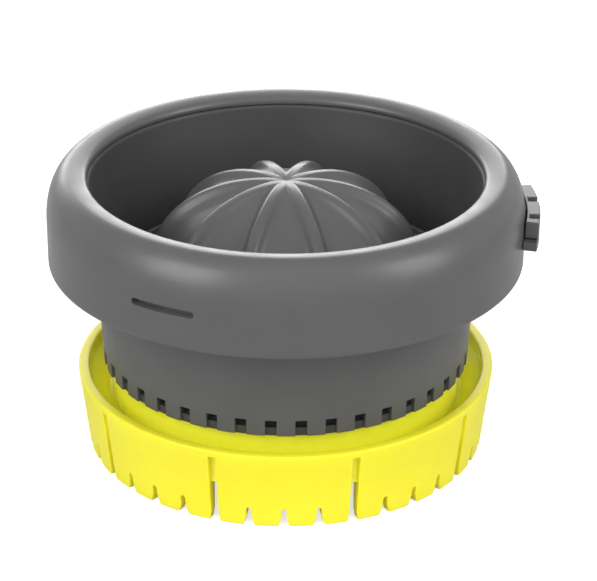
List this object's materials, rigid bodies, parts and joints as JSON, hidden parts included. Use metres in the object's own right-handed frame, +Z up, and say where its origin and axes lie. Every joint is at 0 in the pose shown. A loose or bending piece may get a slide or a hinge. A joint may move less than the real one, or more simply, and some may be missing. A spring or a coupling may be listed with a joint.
{
  "type": "electric juicer",
  "caption": "Compact electric juicer head with a rolled collar, ribbed power slider, drain windows and a yellow jug ring; geared reamer and lift-out strainer inside.",
  "frame": {"origin": "on the vertical axis, in the plane of the base ring's foot", "axes": "+Z up along the axis of bowl and drive, -Y to the front, +X to the power slider"},
  "size_m": [0.1319, 0.128, 0.0784],
  "materials": {
    "grey_plastic": "satin moulded, fine grain",
    "yellow_plastic": "satin gloss moulded",
    "steel": "machined",
    "magnet": "dark coated",
    "brass": "machined",
    "copper": "enamelled wire",
    "rubber": "matt",
    "nylon": "moulded",
    "acetal": "moulded",
    "circuit_board": "lacquered",
    "dark_plastic": "moulded",
    "smoked_lens": "smoked, glossy"
  },
  "bodies": {
    "base": {"base_ring": "yellow_plastic"},
    "head": {"bowl": "grey_plastic", "rim_collar": "grey_plastic", "collar_screws": "steel", "shaft_seal": "rubber", "top_bush": "brass", "ring_gear": "acetal", "motor_stator": "steel", "motor_windings": "copper", "motor_can": "steel", "upper_bearing": "brass", "lower_bearing": "brass", "gearbox_plate": "steel", "gearbox_screws": "steel", "driver_board": "circuit_board", "motor_housing": "grey_plastic", "motor_cover": "grey_plastic", "cover_gasket": "rubber", "cover_screws": "steel", "slider_rail": "grey_plastic", "slide_switch": "dark_plastic", "status_lens": "smoked_lens", "indicator_board": "circuit_board", "power_inlet": "dark_plastic", "inlet_nut": "steel", "wire_harness": "dark_plastic"},
    "drive": {"spindle": "steel", "thrust_washer": "brass", "planet_carrier": "steel", "planet_pins": "steel"},
    "planet_1": {"planet_gear_1": "nylon"},
    "planet_2": {"planet_gear_2": "nylon"},
    "planet_3": {"planet_gear_3": "nylon"},
    "rotor": {"motor_shaft": "steel", "sun_pinion": "steel", "motor_rotor": "magnet"},
    "reamer": {"reamer": "grey_plastic"},
    "strainer": {"strainer": "grey_plastic"},
    "slider": {"power_slider": "grey_plastic", "slider_clip": "dark_plastic"}
  },
  "joints": [
    {"name": "bowl_lift", "type": "slide", "parent": "base", "child": "head", "axis": [0, 0, 1], "range_m": [0, 0.04]},
    {"name": "drive_spin", "type": "hinge", "parent": "head", "child": "drive", "pos_m": [0, 0, 0.05], "axis": [0, 0, 1], "continuous": true},
    {"name": "rotor_spin", "type": "hinge", "parent": "head", "child": "rotor", "pos_m": [0, 0, 0.03], "axis": [0, 0, 1], "continuous": true},
    {"name": "planet_1_spin", "type": "hinge", "parent": "drive", "child": "planet_1", "pos_m": [0.01238, 0, 0.0376], "axis": [0, 0, 1], "continuous": true},
    {"name": "planet_2_spin", "type": "hinge", "parent": "drive", "child": "planet_2", "pos_m": [-0.00619, 0.01072, 0.0376], "axis": [0, 0, 1], "continuous": true},
    {"name": "planet_3_spin", "type": "hinge", "parent": "drive", "child": "planet_3", "pos_m": [-0.00619, -0.01072, 0.0376], "axis": [0, 0, 1], "continuous": true},
    {"name": "reamer_lift", "type": "slide", "parent": "drive", "child": "reamer", "axis": [0, 0, 1], "range_m": [0, 0.04]},
    {"name": "strainer_lift", "type": "slide", "parent": "head", "child": "strainer", "axis": [0, 0, 1], "range_m": [0, 0.04]},
    {"name": "slider_shift", "type": "hinge", "parent": "head", "child": "slider", "pos_m": [0, 0, 0.0657], "axis": [0, 0, 1], "range_deg": [-1.79, 1.79]}
  ],
  "couplings": [
    {"joint": "rotor_spin", "follows": "drive_spin", "ratio": 4.4},
    {"joint": "planet_1_spin", "follows": "drive_spin", "ratio": -2.8333},
    {"joint": "planet_2_spin", "follows": "drive_spin", "ratio": -2.8333},
    {"joint": "planet_3_spin", "follows": "drive_spin", "ratio": -2.8333}
  ]
}
